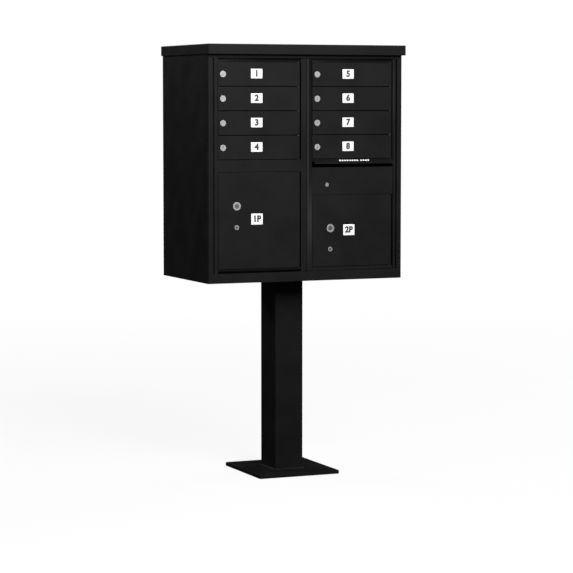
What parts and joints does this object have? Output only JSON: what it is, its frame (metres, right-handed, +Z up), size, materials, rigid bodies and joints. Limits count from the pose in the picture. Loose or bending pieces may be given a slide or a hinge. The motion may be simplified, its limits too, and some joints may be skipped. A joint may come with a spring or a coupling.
{
  "type": "cluster mailbox unit",
  "caption": "Pedestal-mounted cluster mailbox: two master doors carrying small locked tenant and parcel doors, with an outgoing letter slot under a hood.",
  "frame": {"origin": "on the floor, at the centre of the pedestal's four anchor holes", "axes": "+Z up, +X to the right of someone facing the doors, -Y out of the doors"},
  "size_m": [0.7746, 0.4822, 1.5748],
  "materials": {
    "cabinet_powder_coat": "satin black powder coat",
    "pedestal_powder_coat": "satin black powder coat",
    "zinc_plate": "bright zinc plate",
    "stainless_rod": "drawn stainless steel",
    "lock_chrome": "nickel-chrome plate",
    "mill_aluminium": "mill-finish sheet"
  },
  "bodies": {
    "cabinet": {"back_panel": "cabinet_powder_coat", "base_plate": "pedestal_powder_coat", "cabinet_floor": "cabinet_powder_coat", "centre_partition": "mill_aluminium", "front_sill": "cabinet_powder_coat", "head_rail": "cabinet_powder_coat", "left_corner_post": "cabinet_powder_coat", "left_shelves": "mill_aluminium", "left_side_panel": "cabinet_powder_coat", "master_hinge_pins": "stainless_rod", "pedestal_bolts": "zinc_plate", "pedestal_column": "pedestal_powder_coat", "pedestal_top_plate": "pedestal_powder_coat", "right_corner_post": "cabinet_powder_coat", "right_shelves": "mill_aluminium", "right_side_panel": "cabinet_powder_coat", "roof_cap": "cabinet_powder_coat"},
    "left_master_door": {"left_master_frame": "cabinet_powder_coat", "left_hinge_rods": "stainless_rod", "latch_keeper": "zinc_plate"},
    "right_master_door": {"right_master_frame": "cabinet_powder_coat", "right_hinge_rods": "stainless_rod", "outgoing_hood": "cabinet_powder_coat", "outgoing_panel": "cabinet_powder_coat", "arrow_lock_case": "zinc_plate"},
    "arrow_lock": {"arrow_lock_plug": "lock_chrome"},
    "latch_bar": {"latch_bar": "zinc_plate"},
    "tenant_door_1": {"tenant_door_1": "cabinet_powder_coat", "tenant_lock_body_1": "lock_chrome"},
    "tenant_lock_1": {"tenant_lock_plug_1": "lock_chrome"},
    "tenant_door_2": {"tenant_door_2": "cabinet_powder_coat", "tenant_lock_body_2": "lock_chrome"},
    "tenant_lock_2": {"tenant_lock_plug_2": "lock_chrome"},
    "tenant_door_3": {"tenant_door_3": "cabinet_powder_coat", "tenant_lock_body_3": "lock_chrome"},
    "tenant_lock_3": {"tenant_lock_plug_3": "lock_chrome"},
    "tenant_door_4": {"tenant_door_4": "cabinet_powder_coat", "tenant_lock_body_4": "lock_chrome"},
    "tenant_lock_4": {"tenant_lock_plug_4": "lock_chrome"},
    "parcel_door_1": {"parcel_door_1": "cabinet_powder_coat", "parcel_lock_bodies_1": "lock_chrome"},
    "parcel_lock_1": {"parcel_lock_plug_1": "lock_chrome"},
    "control_lock_1": {"control_lock_plug_1": "lock_chrome"},
    "tenant_door_5": {"tenant_door_5": "cabinet_powder_coat", "tenant_lock_body_5": "lock_chrome"},
    "tenant_lock_5": {"tenant_lock_plug_5": "lock_chrome"},
    "tenant_door_6": {"tenant_door_6": "cabinet_powder_coat", "tenant_lock_body_6": "lock_chrome"},
    "tenant_lock_6": {"tenant_lock_plug_6": "lock_chrome"},
    "tenant_door_7": {"tenant_door_7": "cabinet_powder_coat", "tenant_lock_body_7": "lock_chrome"},
    "tenant_lock_7": {"tenant_lock_plug_7": "lock_chrome"},
    "tenant_door_8": {"tenant_door_8": "cabinet_powder_coat", "tenant_lock_body_8": "lock_chrome"},
    "tenant_lock_8": {"tenant_lock_plug_8": "lock_chrome"},
    "parcel_door_2": {"parcel_door_2": "cabinet_powder_coat", "parcel_lock_bodies_2": "lock_chrome"},
    "parcel_lock_2": {"parcel_lock_plug_2": "lock_chrome"},
    "control_lock_2": {"control_lock_plug_2": "lock_chrome"}
  },
  "joints": [
    {"name": "left_master_hinge", "type": "hinge", "parent": "cabinet", "child": "left_master_door", "pos_m": [-0.35285, -0.2216, 0.7604], "axis": [0, 0, -1], "range_deg": [0, 95]},
    {"name": "right_master_hinge", "type": "hinge", "parent": "cabinet", "child": "right_master_door", "pos_m": [0.35285, -0.2216, 0.7604], "axis": [0, 0, 1], "range_deg": [0, 95]},
    {"name": "arrow_lock_turn", "type": "hinge", "parent": "right_master_door", "child": "arrow_lock", "pos_m": [0.08025, -0.2286, 1.071], "axis": [0, -1, 0], "range_deg": [0, 90]},
    {"name": "latch_slide", "type": "slide", "parent": "right_master_door", "child": "latch_bar", "axis": [-1, 0, 0], "range_m": [0, 0.0198]},
    {"name": "tenant_hinge_1", "type": "hinge", "parent": "left_master_door", "child": "tenant_door_1", "pos_m": [-0.02925, -0.2226, 1.46825], "axis": [0, 0, 1], "range_deg": [0, 90]},
    {"name": "tenant_lock_turn_1", "type": "hinge", "parent": "tenant_door_1", "child": "tenant_lock_1", "pos_m": [-0.32385, -0.2286, 1.46825], "axis": [0, 1, 0], "range_deg": [0, 90]},
    {"name": "tenant_hinge_2", "type": "hinge", "parent": "left_master_door", "child": "tenant_door_2", "pos_m": [-0.02925, -0.2226, 1.38125], "axis": [0, 0, 1], "range_deg": [0, 90]},
    {"name": "tenant_lock_turn_2", "type": "hinge", "parent": "tenant_door_2", "child": "tenant_lock_2", "pos_m": [-0.32385, -0.2286, 1.38125], "axis": [0, 1, 0], "range_deg": [0, 90]},
    {"name": "tenant_hinge_3", "type": "hinge", "parent": "left_master_door", "child": "tenant_door_3", "pos_m": [-0.02925, -0.2226, 1.29425], "axis": [0, 0, 1], "range_deg": [0, 90]},
    {"name": "tenant_lock_turn_3", "type": "hinge", "parent": "tenant_door_3", "child": "tenant_lock_3", "pos_m": [-0.32385, -0.2286, 1.29425], "axis": [0, 1, 0], "range_deg": [0, 90]},
    {"name": "tenant_hinge_4", "type": "hinge", "parent": "left_master_door", "child": "tenant_door_4", "pos_m": [-0.02925, -0.2226, 1.20725], "axis": [0, 0, 1], "range_deg": [0, 90]},
    {"name": "tenant_lock_turn_4", "type": "hinge", "parent": "tenant_door_4", "child": "tenant_lock_4", "pos_m": [-0.32385, -0.2286, 1.20725], "axis": [0, 1, 0], "range_deg": [0, 90]},
    {"name": "parcel_hinge_1", "type": "hinge", "parent": "left_master_door", "child": "parcel_door_1", "pos_m": [-0.02925, -0.2226, 0.94645], "axis": [0, 0, 1], "range_deg": [0, 90]},
    {"name": "parcel_lock_turn_1", "type": "hinge", "parent": "parcel_door_1", "child": "parcel_lock_1", "pos_m": [-0.27185, -0.2286, 0.999], "axis": [0, 1, 0], "range_deg": [0, 90]},
    {"name": "control_lock_turn_1", "type": "hinge", "parent": "parcel_door_1", "child": "control_lock_1", "pos_m": [-0.27185, -0.2286, 0.923], "axis": [0, 1, 0], "range_deg": [0, 90]},
    {"name": "tenant_hinge_5", "type": "hinge", "parent": "right_master_door", "child": "tenant_door_5", "pos_m": [0.33635, -0.2226, 1.46825], "axis": [0, 0, 1], "range_deg": [0, 90]},
    {"name": "tenant_lock_turn_5", "type": "hinge", "parent": "tenant_door_5", "child": "tenant_lock_5", "pos_m": [0.04175, -0.2286, 1.46825], "axis": [0, 1, 0], "range_deg": [0, 90]},
    {"name": "tenant_hinge_6", "type": "hinge", "parent": "right_master_door", "child": "tenant_door_6", "pos_m": [0.33635, -0.2226, 1.38125], "axis": [0, 0, 1], "range_deg": [0, 90]},
    {"name": "tenant_lock_turn_6", "type": "hinge", "parent": "tenant_door_6", "child": "tenant_lock_6", "pos_m": [0.04175, -0.2286, 1.38125], "axis": [0, 1, 0], "range_deg": [0, 90]},
    {"name": "tenant_hinge_7", "type": "hinge", "parent": "right_master_door", "child": "tenant_door_7", "pos_m": [0.33635, -0.2226, 1.29425], "axis": [0, 0, 1], "range_deg": [0, 90]},
    {"name": "tenant_lock_turn_7", "type": "hinge", "parent": "tenant_door_7", "child": "tenant_lock_7", "pos_m": [0.04175, -0.2286, 1.29425], "axis": [0, 1, 0], "range_deg": [0, 90]},
    {"name": "tenant_hinge_8", "type": "hinge", "parent": "right_master_door", "child": "tenant_door_8", "pos_m": [0.33635, -0.2226, 1.20725], "axis": [0, 0, 1], "range_deg": [0, 90]},
    {"name": "tenant_lock_turn_8", "type": "hinge", "parent": "tenant_door_8", "child": "tenant_lock_8", "pos_m": [0.04175, -0.2286, 1.20725], "axis": [0, 1, 0], "range_deg": [0, 90]},
    {"name": "parcel_hinge_2", "type": "hinge", "parent": "right_master_door", "child": "parcel_door_2", "pos_m": [0.33635, -0.2226, 0.9033], "axis": [0, 0, 1], "range_deg": [0, 90]},
    {"name": "parcel_lock_turn_2", "type": "hinge", "parent": "parcel_door_2", "child": "parcel_lock_2", "pos_m": [0.09375, -0.2286, 0.9127], "axis": [0, 1, 0], "range_deg": [0, 90]},
    {"name": "control_lock_turn_2", "type": "hinge", "parent": "parcel_door_2", "child": "control_lock_2", "pos_m": [0.09375, -0.2286, 0.8367], "axis": [0, 1, 0], "range_deg": [0, 90]}
  ],
  "couplings": [
    {"joint": "arrow_lock_turn", "follows": "latch_slide", "rad_per_m": 79.337}
  ]
}
